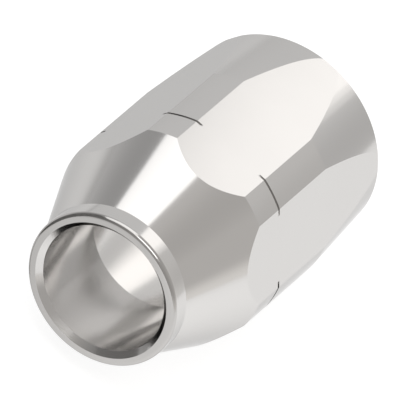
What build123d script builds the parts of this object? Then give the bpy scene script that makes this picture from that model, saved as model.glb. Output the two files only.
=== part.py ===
from build123d import *
import math
import os

# Reusable hose socket, turned in one piece from round steel bar, with six flats milled
# along it for a spanner. It lies on one of its flats: the axis runs along Y, with the
# mouth that takes the hose at -Y and the nipple end at +Y, and +Z is square out of the
# top flat. The origin is on the axis, half way along. Sizes are in millimetres, and
# stations are measured back along the axis from the face of the mouth.

# Outside of the body
length = 44.2
across_flats = 27.0
flat_count = 6
body_diameter = 29.1
shoulder_station = 14.8
taper_station = 31.0
nipple_end_diameter = 27.1
nipple_end_edge_break = 0.15

# Collar round the mouth, a hair larger than the front cone where the two meet
collar_diameter = 20.5
collar_length = 2.8
collar_edge_radius = 0.6
cone_root_diameter = 20.3

# Thin groove turned round the middle of the body, shallower than the flats
groove_station = 19.6
groove_width = 0.35
groove_depth = 0.3

# Smooth bore that the hose slides into
hose_bore_diameter = 16.8
hose_bore_length = 12.8
mouth_chamfer = 0.7

# Tapered seat that the braid is wedged against, and the wider plain chamber behind it
seat_half_angle = 12.0
seat_end_diameter = 20.8
chamber_diameter = 23.2

# Nipple thread, M24 x 1.5 and right-handed, with a relief at its inner end
thread_bore_diameter = 22.4
thread_major_diameter = 24.0
thread_pitch = 1.5
thread_angle = 60.0
thread_depth = 12.5
relief_diameter = 24.6
relief_width = 2.2
thread_entry_clearance = 0.1

# Sizes that follow from the ones above
seat_length = (seat_end_diameter - hose_bore_diameter) / 2 / math.tan(math.radians(seat_half_angle))
chamber_station = hose_bore_length + seat_length
thread_station = length - thread_depth
relief_station = thread_station - relief_width
entry_diameter = thread_major_diameter + 2 * thread_entry_clearance
entry_chamfer = (entry_diameter - thread_bore_diameter) / 2

# The pointed threading tool reaches from just inside the bored wall to the thread's root.
# It starts in the relief and runs out past the end face.
cutter_clearance = 0.15
cutter_overrun = 0.75 * thread_pitch
cutter_back_radius = thread_bore_diameter / 2 - cutter_clearance
cutter_reach = thread_major_diameter / 2 - cutter_back_radius
cutter_back_width = 2 * cutter_reach * math.tan(math.radians(thread_angle / 2))

# Half profiles are drawn in this plane: x is the radius and y is the station
profile_plane = Plane(origin=(0, -length / 2, 0))


with BuildPart() as hose_socket:
    # The bar is turned first: collar, front cone, round body and rear taper
    with BuildSketch(profile_plane):
        with BuildLine():
            Polyline(
                (0, 0),
                (collar_diameter / 2, 0),
                (collar_diameter / 2, collar_length),
                (cone_root_diameter / 2, collar_length),
                (body_diameter / 2, shoulder_station),
                (body_diameter / 2, taper_station),
                (nipple_end_diameter / 2, length),
                (0, length),
                close=True,
            )
        make_face()
    revolve(axis=Axis.Y)

    # The collar's rim is rounded, and the edge of the nipple end is broken
    rims = hose_socket.edges().filter_by(GeomType.CIRCLE).sort_by(Axis.Y)
    fillet(rims[0], radius=collar_edge_radius)
    chamfer(rims[-1], length=nipple_end_edge_break)

    # The groove is cut while the body is still round
    with BuildSketch(profile_plane):
        with Locations((body_diameter / 2, groove_station)):
            Rectangle(2 * groove_depth, groove_width)
    revolve(axis=Axis.Y, mode=Mode.SUBTRACT)

    # Six flats are milled over the whole length, one of them on top. They miss the
    # collar, cut curved edges into the cone and the taper, and leave narrow round strips.
    with BuildSketch(Plane.XZ):
        RegularPolygon(radius=across_flats / 2, side_count=flat_count, major_radius=False)
    extrude(amount=length / 2, both=True, mode=Mode.INTERSECT)

    # The inside is bored from the nipple end: entry, thread, relief, chamber, seat, bore
    with BuildSketch(profile_plane):
        with BuildLine():
            Polyline(
                (0, 0),
                (hose_bore_diameter / 2, 0),
                (hose_bore_diameter / 2, hose_bore_length),
                (seat_end_diameter / 2, chamber_station),
                (chamber_diameter / 2, chamber_station),
                (chamber_diameter / 2, relief_station),
                (relief_diameter / 2, relief_station),
                (relief_diameter / 2, thread_station),
                (thread_bore_diameter / 2, thread_station),
                (thread_bore_diameter / 2, length - entry_chamfer),
                (entry_diameter / 2, length),
                (0, length),
                close=True,
            )
        make_face()
    revolve(axis=Axis.Y, mode=Mode.SUBTRACT)

    # The thread is cut along a helix, in the wall that was bored for it
    with BuildLine():
        cutter_path = Helix(
            pitch=thread_pitch,
            height=thread_depth + 2 * cutter_overrun,
            radius=cutter_back_radius,
            center=(0, thread_station - cutter_overrun - length / 2, 0),
            direction=(0, 1, 0),
        )
    with BuildSketch(Plane(origin=cutter_path @ 0, x_dir=(0, 0, 1), z_dir=cutter_path % 0)):
        with BuildLine():
            Polyline(
                (0, -cutter_back_width / 2),
                (cutter_reach, 0),
                (0, cutter_back_width / 2),
                close=True,
            )
        make_face()
    sweep(is_frenet=True, mode=Mode.SUBTRACT)

    # The mouth is chamfered so that the hose enters without being shaved
    mouth_edges = hose_socket.edges().filter_by(GeomType.CIRCLE).group_by(Axis.Y)[0]
    chamfer(mouth_edges.sort_by(SortBy.RADIUS)[0], length=mouth_chamfer)


os.makedirs("parts", exist_ok=True)
hose_socket.part.label = "hose_socket"
export_step(hose_socket.part, "parts/hose_socket.step")
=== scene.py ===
import math

import bmesh
import bpy
from mathutils import Matrix, Vector


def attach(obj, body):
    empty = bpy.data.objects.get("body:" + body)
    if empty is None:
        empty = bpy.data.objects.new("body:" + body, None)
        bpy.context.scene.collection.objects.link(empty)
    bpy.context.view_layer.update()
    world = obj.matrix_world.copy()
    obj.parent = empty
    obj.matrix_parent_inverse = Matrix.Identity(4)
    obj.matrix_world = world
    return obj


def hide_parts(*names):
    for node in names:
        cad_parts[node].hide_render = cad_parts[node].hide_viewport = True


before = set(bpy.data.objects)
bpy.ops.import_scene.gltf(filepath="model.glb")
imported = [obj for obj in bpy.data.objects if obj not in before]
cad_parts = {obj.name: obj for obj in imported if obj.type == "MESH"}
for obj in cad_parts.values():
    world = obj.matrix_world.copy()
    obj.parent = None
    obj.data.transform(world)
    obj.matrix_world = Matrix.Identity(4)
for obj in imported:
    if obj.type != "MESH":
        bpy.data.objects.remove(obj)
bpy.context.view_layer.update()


# The socket's body is one piece of bright steel bar. It is turned outside and inside on
# a lathe, and six flats are milled along it for a spanner. Nothing is fixed to it: it
# lies on its bottom flat, with the mouth for the hose towards -Y.
mm = 0.001
length = 44.2 * mm
front_end = -length / 2
collar_radius = 10.25 * mm
collar_length = 2.8 * mm
collar_edge_radius = 0.6 * mm
cone_root_radius = 10.15 * mm
body_radius = 14.55 * mm
shoulder_station = 14.8 * mm
groove_station = 19.6 * mm
groove_width = 0.35 * mm
groove_start = groove_station - groove_width / 2
groove_end = groove_station + groove_width / 2
groove_floor_radius = 14.25 * mm
taper_station = 31.0 * mm
nipple_end_radius = 13.55 * mm
nipple_end_edge_break = 0.15 * mm
half_across_flats = 13.5 * mm
flat_count = 6

# The inside: mouth, smooth bore for the hose, tapered seat, plain chamber, thread relief
# and the wall that the thread is cut in
hose_bore_radius = 8.4 * mm
mouth_chamfer = 0.7 * mm
seat_station = 12.8 * mm
seat_end_radius = 10.4 * mm
chamber_radius = 11.6 * mm
chamber_station = 22.21 * mm
relief_radius = 12.3 * mm
relief_width = 2.2 * mm
thread_depth = 12.5 * mm
thread_major_radius = 12.0 * mm
thread_minor_radius = 11.2 * mm
thread_entry_clearance = 0.1 * mm
thread_station = length - thread_depth
relief_station = thread_station - relief_width
thread_entry_radius = thread_major_radius + thread_entry_clearance

steps_round = 384
rim_steps = 12
sharp_angle = math.radians(3)
edge_margin = 0.01 * mm
facing_margin = 1e-9
weld_distance = 1e-8

# The kinds of machined surface, in the order of the mesh's materials
turned, milled, threaded, bored, faced, chamber_turned, seat_turned = range(7)


def station(bm, radius, distance_back):
    return bm.verts.new((radius, front_end + distance_back, 0))


def turned_steel_bar(bm):
    half_section = [
        (collar_radius, 0),
        (collar_radius, collar_length),
        (cone_root_radius, collar_length),
        (body_radius, shoulder_station),
        (body_radius, groove_start),
        (groove_floor_radius, groove_start),
        (groove_floor_radius, groove_end),
        (body_radius, groove_end),
        (body_radius, taper_station),
        (nipple_end_radius, length - nipple_end_edge_break),
        (nipple_end_radius - nipple_end_edge_break, length),
        (thread_entry_radius, length),
        (thread_major_radius, length - thread_entry_clearance),
        (thread_major_radius, thread_station),
        (relief_radius, thread_station),
        (relief_radius, relief_station),
        (chamber_radius, relief_station),
        (chamber_radius, chamber_station),
        (seat_end_radius, chamber_station),
        (hose_bore_radius, seat_station),
        (hose_bore_radius, mouth_chamfer),
        (hose_bore_radius + mouth_chamfer, 0),
    ]
    corners = [station(bm, radius, back) for radius, back in half_section]
    outline = [bm.edges.new((corners[i - 1], corners[i])) for i in range(len(corners))]
    half_step = Matrix.Rotation(math.pi / steps_round, 3, "Y")
    bmesh.ops.rotate(bm, verts=corners, cent=(0, 0, 0), matrix=half_step)
    bmesh.ops.spin(bm, geom=corners + outline, cent=(0, 0, 0), axis=(0, 1, 0),
                   angle=2 * math.pi, steps=steps_round, use_merge=True)
    bmesh.ops.recalc_face_normals(bm, faces=bm.faces)
    for edge in bm.edges:
        edge.smooth = edge.calc_face_angle(0) < sharp_angle


def rounded_collar_rim(bm):
    def on_rim(vert):
        on_face = abs(vert.co.y - front_end) < edge_margin
        return on_face and math.hypot(vert.co.x, vert.co.z) > collar_radius - edge_margin

    rim = [edge for edge in bm.edges if all(on_rim(vert) for vert in edge.verts)]
    for edge in rim:
        edge.smooth = True
    bmesh.ops.bevel(bm, geom=rim, offset=collar_edge_radius, offset_type="OFFSET",
                    segments=rim_steps, profile=0.5, affect="EDGES", material=-1,
                    clamp_overlap=False)


def cut_off(bm, place, outwards):
    # Cuts off what lies past a plane, and gives back the open edges that the cut leaves
    cut = bmesh.ops.bisect_plane(
        bm, geom=bm.verts[:] + bm.edges[:] + bm.faces[:], dist=weld_distance,
        plane_co=place, plane_no=outwards, clear_outer=True)
    return [item for item in cut["geom_cut"] if isinstance(item, bmesh.types.BMEdge)]


def milled_flats(bm):
    for number in range(flat_count):
        turn = Matrix.Rotation(2 * math.pi * number / flat_count, 3, "Y")
        outwards = turn @ Vector((0, 0, 1))
        rim = cut_off(bm, outwards * half_across_flats, outwards)
        made = bmesh.ops.edgeloop_fill(bm, edges=rim)
        for face in made["faces"]:
            face.material_index = milled
        for edge in rim:
            edge.smooth = False


body_mesh = bmesh.new()
turned_steel_bar(body_mesh)
rounded_collar_rim(body_mesh)
milled_flats(body_mesh)


# The nipple thread, M24 x 1.5, is cut in the wall of the wide end with a pointed tool. Its
# ridge starts at the relief and runs out in the chamfer at the end face. The ridge's foot
# is sunk a little into the wall.
thread_pitch = 1.5 * mm
thread_crest_width = 0.576 * mm
ridge_foot_width = 1.558 * mm
ridge_foot_radius = thread_major_radius + 0.05 * mm
ridge_end_gap = 0.02 * mm
ridge_start = thread_station + ridge_end_gap
ridge_end = length - thread_entry_clearance - ridge_end_gap
crest_chamfer_station = length - (thread_entry_radius - thread_minor_radius)
steps_per_turn = 128
turns = 11
crest_edge_angle = math.radians(20)


def thread_ridge():
    ridge = bmesh.new()
    first = thread_station - thread_pitch
    across = [
        (ridge_foot_radius, -ridge_foot_width / 2),
        (thread_minor_radius, -thread_crest_width / 2),
        (thread_minor_radius, thread_crest_width / 2),
        (ridge_foot_radius, ridge_foot_width / 2),
    ]
    tooth = ridge.faces.new([station(ridge, radius, first + along) for radius, along in across])
    rise = Vector((0, thread_pitch / steps_per_turn, 0))
    bmesh.ops.spin(ridge, geom=[tooth], cent=(0, 0, 0), axis=(0, 1, 0), dvec=rise,
                   angle=2 * math.pi * turns, steps=steps_per_turn * turns)
    for end, outwards in ((ridge_start, -1), (ridge_end, 1)):
        rim = cut_off(ridge, (0, front_end + end, 0), (0, outwards, 0))
        bmesh.ops.edgeloop_fill(ridge, edges=rim)
    return ridge


def chamfer_crest(ridge):
    for vert in ridge.verts:
        chamfer_radius = thread_minor_radius + vert.co.y - front_end - crest_chamfer_station
        radius = math.hypot(vert.co.x, vert.co.z)
        if radius < chamfer_radius:
            vert.co.x *= chamfer_radius / radius
            vert.co.z *= chamfer_radius / radius


def cut_thread(bm):
    ridge = thread_ridge()
    chamfer_crest(ridge)
    bmesh.ops.recalc_face_normals(ridge, faces=ridge.faces)
    for edge in ridge.edges:
        edge.smooth = edge.calc_face_angle(0) < crest_edge_angle
    for face in ridge.faces:
        face.material_index = threaded
    ridge_mesh = bpy.data.meshes.new("thread_ridge")
    ridge.to_mesh(ridge_mesh)
    ridge.free()
    bm.from_mesh(ridge_mesh)
    bpy.data.meshes.remove(ridge_mesh)


def surface_left_by_lathe(face):
    middle = face.calc_center_median()
    back = middle.y - front_end
    towards_axis = face.normal.x * middle.x + face.normal.z * middle.z < -facing_margin
    if towards_axis and back > relief_station - edge_margin:
        return threaded
    if towards_axis and back > chamber_station - edge_margin:
        return chamber_turned
    if towards_axis and back > seat_station:
        return seat_turned
    if towards_axis and back > mouth_chamfer:
        return bored
    if not towards_axis and back < collar_edge_radius - edge_margin:
        return faced
    return turned


cut_thread(body_mesh)
for face in body_mesh.faces:
    face.smooth = True
    if face.material_index == turned:
        face.material_index = surface_left_by_lathe(face)
mesh = bpy.data.meshes.new("turned_socket")
body_mesh.to_mesh(mesh)
body_mesh.free()
turned_socket = bpy.data.objects.new("turned_socket", mesh)
bpy.context.scene.collection.objects.link(turned_socket)


# The bar is left as machined, with no plating. Every face carries the fine, even marks of
# its tool across the axis, and a faint unevenness of the polish. Seen at a slant, the
# outside mirrors less than the bored inside: painted light inside. The thread, the chamber
# and the seat get lighter steel than the bar's, as painted light in the bore, and the
# mouth's end face gets darker steel, as painted shade.
bright_steel = (0.59, 0.58, 0.57, 1)
bored_steel = (0.60, 0.59, 0.58, 1)
# Lighter steel for the thread, the chamber and the seat is painted light in the bore; darker steel
# for the end face is painted shade
cut_steel_painted_light = (0.86, 0.85, 0.84, 1)
faced_steel_painted_shade = (0.47, 0.46, 0.45, 1)
chamber_steel_painted_light = (0.68, 0.67, 0.66, 1)
seat_steel_painted_light = (0.615, 0.60, 0.585, 1)
outside_edge_tint = (0.67, 0.67, 0.67, 1)
# The inside mirrors fully at a slant: painted light in the bore
painted_light_edge_tint = (1, 1, 1, 1)

ring_detail = 3
ring_unevenness = 0.6
polish_patches_per_metre = 90
polish_detail = 4
smoothest_polish = 0.85
roughest_polish = 1.15


def tool_marks_group():
    group = bpy.data.node_groups.new("tool_marks", "ShaderNodeTree")
    sockets = group.interface
    sockets.new_socket("Steel Color", in_out="INPUT", socket_type="NodeSocketColor")
    for name in ("Marks per Metre", "Mark Depth", "Polish Roughness", "Stain"):
        sockets.new_socket(name, in_out="INPUT", socket_type="NodeSocketFloat")
    sockets.new_socket("Color", in_out="OUTPUT", socket_type="NodeSocketColor")
    sockets.new_socket("Roughness", in_out="OUTPUT", socket_type="NodeSocketFloat")
    sockets.new_socket("Normal", in_out="OUTPUT", socket_type="NodeSocketVector")
    add, join = group.nodes.new, group.links.new
    given = add("NodeGroupInput")
    result = add("NodeGroupOutput")
    place = add("ShaderNodeTexCoord")

    # One set of rings: the noise is read along the axis only
    along_axis = add("ShaderNodeVectorMath")
    along_axis.operation = "MULTIPLY"
    along_axis.inputs[1].default_value = (0, 1, 0)
    join(place.outputs["Object"], along_axis.inputs[0])
    rings = add("ShaderNodeTexNoise")
    rings.inputs["Detail"].default_value = ring_detail
    rings.inputs["Roughness"].default_value = ring_unevenness
    join(along_axis.outputs[0], rings.inputs["Vector"])
    join(given.outputs["Marks per Metre"], rings.inputs["Scale"])

    # The polish and the stain vary slowly and together over the surface
    polish = add("ShaderNodeTexNoise")
    polish.inputs["Scale"].default_value = polish_patches_per_metre
    polish.inputs["Detail"].default_value = polish_detail
    join(place.outputs["Object"], polish.inputs["Vector"])

    shade = add("ShaderNodeMapRange")
    shade.inputs["To Min"].default_value = 1
    join(polish.outputs["Fac"], shade.inputs["Value"])
    darkest = add("ShaderNodeMath")
    darkest.operation = "SUBTRACT"
    darkest.inputs[0].default_value = 1
    join(given.outputs["Stain"], darkest.inputs[1])
    join(darkest.outputs[0], shade.inputs["To Max"])
    tinted = add("ShaderNodeVectorMath")
    tinted.operation = "SCALE"
    join(given.outputs["Steel Color"], tinted.inputs[0])
    join(shade.outputs["Result"], tinted.inputs["Scale"])
    join(tinted.outputs[0], result.inputs["Color"])

    uneven = add("ShaderNodeMapRange")
    uneven.inputs["To Min"].default_value = smoothest_polish
    uneven.inputs["To Max"].default_value = roughest_polish
    join(polish.outputs["Fac"], uneven.inputs["Value"])
    rough = add("ShaderNodeMath")
    rough.operation = "MULTIPLY"
    join(given.outputs["Polish Roughness"], rough.inputs[0])
    join(uneven.outputs["Result"], rough.inputs[1])
    join(rough.outputs[0], result.inputs["Roughness"])

    relief = add("ShaderNodeBump")
    relief.inputs["Strength"].default_value = 1
    join(rings.outputs["Fac"], relief.inputs["Height"])
    join(given.outputs["Mark Depth"], relief.inputs["Distance"])
    join(relief.outputs["Normal"], result.inputs["Normal"])
    return group


tool_marks = tool_marks_group()


def machined_steel(name, steel_color, edge_tint, marks_per_metre=9000, mark_depth=0.0004 * mm,
                   polish_roughness=0.14, stain=0.03):
    material = bpy.data.materials.new(name)
    material.use_nodes = True
    nodes, links = material.node_tree.nodes, material.node_tree.links
    steel = nodes["Principled BSDF"]
    steel.inputs["Metallic"].default_value = 1
    steel.inputs["Specular Tint"].default_value = edge_tint
    marks = nodes.new("ShaderNodeGroup")
    marks.node_tree = tool_marks
    marks.inputs["Steel Color"].default_value = steel_color
    marks.inputs["Marks per Metre"].default_value = marks_per_metre
    marks.inputs["Mark Depth"].default_value = mark_depth
    marks.inputs["Polish Roughness"].default_value = polish_roughness
    marks.inputs["Stain"].default_value = stain
    links.new(marks.outputs["Color"], steel.inputs["Base Color"])
    links.new(marks.outputs["Roughness"], steel.inputs["Roughness"])
    links.new(marks.outputs["Normal"], steel.inputs["Normal"])
    return material


finishes = (
    machined_steel("turned_steel", bright_steel, outside_edge_tint),
    machined_steel("milled_steel", bright_steel, outside_edge_tint,
                   marks_per_metre=5000, mark_depth=0.0003 * mm, stain=0.02),
    # The inside's lighter copies of the steel are painted light, the end face's darker copy is
    # painted shade
    machined_steel("thread_steel", cut_steel_painted_light, painted_light_edge_tint,
                   marks_per_metre=12000, polish_roughness=0.08, stain=0.05),
    machined_steel("bored_steel", bored_steel, painted_light_edge_tint, polish_roughness=0.16),
    machined_steel("faced_steel_painted_shade", faced_steel_painted_shade, outside_edge_tint),
    machined_steel("chamber_steel_painted_light", chamber_steel_painted_light, painted_light_edge_tint),
    machined_steel("seat_steel_painted_light", seat_steel_painted_light, painted_light_edge_tint, polish_roughness=0.22),
)
for finish in finishes:
    mesh.materials.append(finish)

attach(turned_socket, "root")
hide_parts("hose_socket")


# The socket lies on a sheet of matt pale paper, which is the floor of the studio. The
# camera sees the sheet white, with the socket's soft shadow on it. In the steel the sheet
# shows a painted glow instead: painted shade makes it less white towards the left and the
# front, and painted light makes it whiter on the right. The lamps add the rest, up to white.
floor_level = -half_across_flats
floor_half_width = 3.0
paper_tone = 0.34
paper_fibre_contrast = 0.015
paper_fibres_per_metre = 400
paper_roughness = 0.9
white_seen = 0.8
# The sheet's painted glow in the steel: painted shade on the left, painted light on the right
painted_glow_left_near = 0.70
painted_shade_far_left = 0.38
painted_glow_right_front = 0.88
painted_light_right = 1.0

# Where one painted glow fades into the next: metres along leftwards, along Y and along X
leftwards = (-0.82, -0.57, 0)
left_fade = (0.018, 0.15)
front_fade = (-0.036, -0.026)
middle_fade = (-0.015, 0.014)

paper = bmesh.new()
bmesh.ops.create_grid(paper, x_segments=1, y_segments=1, size=floor_half_width)
bmesh.ops.translate(paper, verts=paper.verts, vec=(0, 0, floor_level))
paper_mesh = bpy.data.meshes.new("studio_floor")
paper.to_mesh(paper_mesh)
paper.free()
studio_floor = bpy.data.objects.new("studio_floor", paper_mesh)
bpy.context.scene.collection.objects.link(studio_floor)


def paper_and_painted_glow():
    material = bpy.data.materials.new("paper_and_painted_glow")
    material.use_nodes = True
    nodes, links = material.node_tree.nodes, material.node_tree.links
    sheet = nodes["Principled BSDF"]
    sheet.inputs["Roughness"].default_value = paper_roughness
    sheet.inputs["Specular IOR Level"].default_value = 0
    place = nodes.new("ShaderNodeTexCoord")
    fibres = nodes.new("ShaderNodeTexNoise")
    fibres.inputs["Scale"].default_value = paper_fibres_per_metre
    links.new(place.outputs["Object"], fibres.inputs["Vector"])
    fibre_tone = nodes.new("ShaderNodeMapRange")
    fibre_tone.inputs["To Min"].default_value = paper_tone * (1 - paper_fibre_contrast)
    fibre_tone.inputs["To Max"].default_value = paper_tone * (1 + paper_fibre_contrast)
    links.new(fibres.outputs["Fac"], fibre_tone.inputs["Value"])
    links.new(fibre_tone.outputs["Result"], sheet.inputs["Base Color"])

    def fade(source, reach, before, after):
        start, end = reach
        ramp = nodes.new("ShaderNodeMapRange")
        ramp.interpolation_type = "SMOOTHSTEP"
        ramp.inputs["From Min"].default_value = start
        ramp.inputs["From Max"].default_value = end
        for name, white in (("To Min", before), ("To Max", after)):
            if isinstance(white, float):
                ramp.inputs[name].default_value = white
            else:
                links.new(white, ramp.inputs[name])
        links.new(source, ramp.inputs["Value"])
        return ramp.outputs["Result"]

    # The painted glow that only the steel mirrors: painted shade on the left, painted light on the
    # right
    across = nodes.new("ShaderNodeSeparateXYZ")
    links.new(place.outputs["Object"], across.inputs[0])
    to_left = nodes.new("ShaderNodeVectorMath")
    to_left.operation = "DOT_PRODUCT"
    to_left.inputs[1].default_value = leftwards
    links.new(place.outputs["Object"], to_left.inputs[0])
    left_half = fade(to_left.outputs["Value"], left_fade, painted_glow_left_near, painted_shade_far_left)
    right_half = fade(across.outputs["Y"], front_fade, painted_glow_right_front, painted_light_right)
    painted_floor_glow = fade(across.outputs["X"], middle_fade, left_half, right_half)
    path = nodes.new("ShaderNodeLightPath")
    in_metal_or_glass = nodes.new("ShaderNodeMath")
    in_metal_or_glass.operation = "MAXIMUM"
    links.new(path.outputs["Is Glossy Ray"], in_metal_or_glass.inputs[0])
    links.new(path.outputs["Is Transmission Ray"], in_metal_or_glass.inputs[1])
    mirrored = nodes.new("ShaderNodeMath")
    mirrored.operation = "MULTIPLY"
    links.new(in_metal_or_glass.outputs[0], mirrored.inputs[0])
    links.new(painted_floor_glow, mirrored.inputs[1])

    # What the camera sees
    seen = nodes.new("ShaderNodeMath")
    seen.operation = "MULTIPLY"
    seen.inputs[1].default_value = white_seen
    links.new(path.outputs["Is Camera Ray"], seen.inputs[0])
    glow = nodes.new("ShaderNodeMath")
    glow.operation = "ADD"
    links.new(mirrored.outputs[0], glow.inputs[0])
    links.new(seen.outputs[0], glow.inputs[1])
    links.new(glow.outputs[0], sheet.inputs["Emission Strength"])
    return material


paper_mesh.materials.append(paper_and_painted_glow())


# Soft boxes light the socket: a wide one overhead and to the left, a tall one behind it
# that leans, and a small strong one above and before the mouth. The right side of the tall
# one is two dimmer panels, so that its light fades out on the round of the rear taper.
back_box_distance = 0.40
back_box_level = 0.23
back_box_height = 0.42
back_box_lean = math.radians(11)
back_box_tint = (1, 0.972, 0.945)

# Name, place along X, width and radiance
back_box_panels = (
    ("back_soft_box", -0.0085, 0.153, 0.86),
    ("back_box_inner_edge", 0.0847, 0.03, 0.57),
    ("back_box_outer_edge", 0.1153, 0.03, 0.28),
)


def soft_box(name, place, aim, width, height, radiance, tint=(1, 1, 1), lean=0):
    light = bpy.data.lights.new(name, "AREA")
    light.color = tint
    light.shape = "RECTANGLE"
    light.size = width
    light.size_y = height
    light.energy = radiance * width * height * math.pi
    lamp = bpy.data.objects.new(name, light)
    lamp.location = place
    aimed = (Vector(aim) - Vector(place)).to_track_quat("-Z", "Y").to_matrix()
    lamp.rotation_euler = (aimed @ Matrix.Rotation(lean, 3, "Z")).to_euler()
    lamp.visible_camera = False
    bpy.context.scene.collection.objects.link(lamp)


soft_box("overhead_soft_box", place=(-0.254, -0.035, 0.35), aim=(-0.254, -0.035, 0),
         width=0.398, height=0.42, radiance=1.2)
for name, across, width, radiance in back_box_panels:
    soft_box(name, place=(across, back_box_distance, back_box_level), aim=(across, 0, 0),
             width=width, height=back_box_height, radiance=radiance,
             tint=back_box_tint, lean=back_box_lean)
soft_box("front_soft_box", place=(0.055, -0.225, 0.35), aim=(0.055, -0.225, 0),
         width=0.23, height=0.16, radiance=3.0)


# A small dark flag of grey cloth stands beside the mouth, out of the camera's sight. A
# narrow grey strip lies on the floor at its foot, as painted shadow of the socket that only
# the steel mirrors. Flag and strip draw the dark line on the collar's rim and darken the
# lower side of the mouth's chamfer.
flag_place = (-0.026, -0.03325, 0.0065)
flag_depth = 0.0255
flag_height = 0.040
# The strip: painted shadow on the floor beside the mouth
painted_shadow_clearance = 0.2 * mm
painted_shadow_place = (-0.0190, -0.0250, floor_level + painted_shadow_clearance)
painted_shadow_length = 0.014
painted_shadow_width = 0.0032
painted_shadow_turn = math.radians(17)
flag_and_painted_shadow_grey = (0.4, 0.4, 0.4, 1)


def flat_piece(bm, size, turn, place):
    corners = bmesh.ops.create_grid(bm, x_segments=1, y_segments=1, size=0.5)["verts"]
    bmesh.ops.scale(bm, verts=corners, vec=(*size, 1))
    bmesh.ops.rotate(bm, verts=corners, cent=(0, 0, 0), matrix=turn)
    bmesh.ops.translate(bm, verts=corners, vec=place)


flag = bmesh.new()
flat_piece(flag, (flag_height, flag_depth), Matrix.Rotation(math.pi / 2, 3, "Y"), flag_place)
# The strip of painted shadow on the floor
flat_piece(flag, (painted_shadow_length, painted_shadow_width), Matrix.Rotation(painted_shadow_turn, 3, "Z"), painted_shadow_place)
flag_mesh = bpy.data.meshes.new("dark_flag_and_painted_shadow")
flag.to_mesh(flag_mesh)
flag.free()
dark_flag_and_painted_shadow = bpy.data.objects.new("dark_flag_and_painted_shadow", flag_mesh)
bpy.context.scene.collection.objects.link(dark_flag_and_painted_shadow)

cloth_and_painted_shadow = bpy.data.materials.new("cloth_and_painted_shadow")
cloth_and_painted_shadow.use_nodes = True
cloth = cloth_and_painted_shadow.node_tree.nodes["Principled BSDF"]
cloth.inputs["Base Color"].default_value = flag_and_painted_shadow_grey
cloth.inputs["Roughness"].default_value = 1
cloth.inputs["Specular IOR Level"].default_value = 0
flag_mesh.materials.append(cloth_and_painted_shadow)
dark_flag_and_painted_shadow.visible_camera = False
dark_flag_and_painted_shadow.visible_diffuse = False
dark_flag_and_painted_shadow.visible_shadow = False


# The studio's walls are off-white and softly lit all round. They are brightest at the
# back, darker on the left and warmer on the right, where a band of light lies low down.
# Three soft patches are dimmer than the wall about them.
cool_white = (1, 0.995, 0.99, 1)
warm_white = (1, 0.975, 0.945, 1)
front_wall_light = 0.53
back_wall_light = 0.88
left_wall_loss = 0.38
right_band_light = 0.35
towards_back = (-0.26, 0.966, 0)
towards_left = (-0.892, -0.416, 0.174)
towards_warm_side = (0.75, -0.55, 0.35)
left_wall_fade = (0.5, 1)
right_band_top_fade = (0.05, 0.3)
right_band_side_fade = (0.55, 0.9)
warm_side_fade = (-0.3, 0.4)

# Azimuth from the mouth's side towards the right, elevation and reach in degrees, and the
# light that is missing in the middle
dim_patches = (
    (-108, 30, 30, 0.16),
    (151, 13, 16, 0.11),
    (112, 64, 22, 0.09),
)

world = bpy.data.worlds.new("studio")
bpy.context.scene.world = world
world.use_nodes = True
world_nodes, world_links = world.node_tree.nodes, world.node_tree.links
walls = world_nodes["Background"]
around = world_nodes.new("ShaderNodeTexCoord")
sides = world_nodes.new("ShaderNodeSeparateXYZ")
world_links.new(around.outputs["Generated"], sides.inputs[0])


def facing(direction):
    dot = world_nodes.new("ShaderNodeVectorMath")
    dot.operation = "DOT_PRODUCT"
    dot.inputs[1].default_value = direction
    world_links.new(around.outputs["Generated"], dot.inputs[0])
    return dot.outputs["Value"]


def graded(source, reach, low=0.0, high=1.0, interpolation="LINEAR"):
    start, end = reach
    ramp = world_nodes.new("ShaderNodeMapRange")
    ramp.interpolation_type = interpolation
    ramp.inputs["From Min"].default_value = start
    ramp.inputs["From Max"].default_value = end
    ramp.inputs["To Min"].default_value = low
    ramp.inputs["To Max"].default_value = high
    world_links.new(source, ramp.inputs["Value"])
    return ramp.outputs["Result"]


def combined(operation, first, second):
    both = world_nodes.new("ShaderNodeMath")
    both.operation = operation
    world_links.new(first, both.inputs[0])
    world_links.new(second, both.inputs[1])
    return both.outputs[0]


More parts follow.
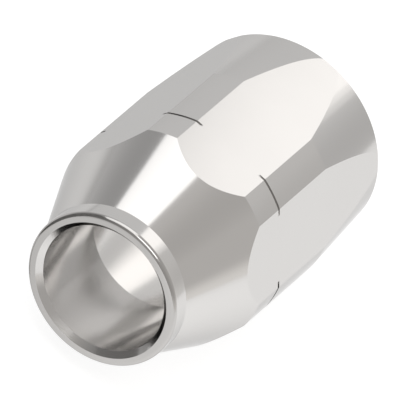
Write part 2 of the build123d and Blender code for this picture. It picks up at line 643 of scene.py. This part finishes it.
def direction_at(azimuth, elevation):
    return Vector((
        math.sin(azimuth) * math.cos(elevation),
        -math.cos(azimuth) * math.cos(elevation),
        math.sin(elevation),
    ))


wall_light = combined(
    "SUBTRACT",
    graded(facing(towards_back), (-1, 1), front_wall_light, back_wall_light),
    graded(facing(towards_left), left_wall_fade, 0, left_wall_loss),
)
right_band = combined(
    "MULTIPLY",
    graded(sides.outputs["Z"], right_band_top_fade, right_band_light, 0, "SMOOTHSTEP"),
    graded(sides.outputs["X"], right_band_side_fade, interpolation="SMOOTHSTEP"),
)
wall_light = combined("ADD", wall_light, right_band)
for azimuth, elevation, reach, loss in dim_patches:
    middle = direction_at(math.radians(azimuth), math.radians(elevation))
    patch = graded(facing(middle), (math.cos(math.radians(reach)), 1), 0, loss)
    wall_light = combined("SUBTRACT", wall_light, patch)
world_links.new(wall_light, walls.inputs["Strength"])

wall_color = world_nodes.new("ShaderNodeMix")
wall_color.data_type = "RGBA"
wall_color.inputs["A"].default_value = cool_white
wall_color.inputs["B"].default_value = warm_white
warmth = graded(facing(towards_warm_side), warm_side_fade, interpolation="SMOOTHSTEP")
world_links.new(warmth, wall_color.inputs["Factor"])
world_links.new(wall_color.outputs["Result"], walls.inputs["Color"])


# The camera looks down on the mouth from the front right, through a very long lens, and is
# rolled by some 35 degrees, as the photograph was taken.
camera_place = Vector((0.250368, -1.523224, 1.301492))
camera_aim = Vector((0.001861, -0.011502, 0.012066))
camera_roll = math.radians(34.905)
lens_millimetres = 1500
sensor_millimetres = 36
farthest_seen = 20

camera_data = bpy.data.cameras.new("camera")
camera_data.lens = lens_millimetres
camera_data.sensor_width = sensor_millimetres
camera_data.clip_end = farthest_seen
camera = bpy.data.objects.new("camera", camera_data)
aimed = (camera_aim - camera_place).to_track_quat("-Z", "Y").to_matrix()
camera.rotation_euler = (aimed @ Matrix.Rotation(camera_roll, 3, "Z")).to_euler()
camera.location = camera_place
bpy.context.scene.collection.objects.link(camera)
bpy.context.scene.camera = camera
bpy.context.scene.view_settings.view_transform = "Standard"
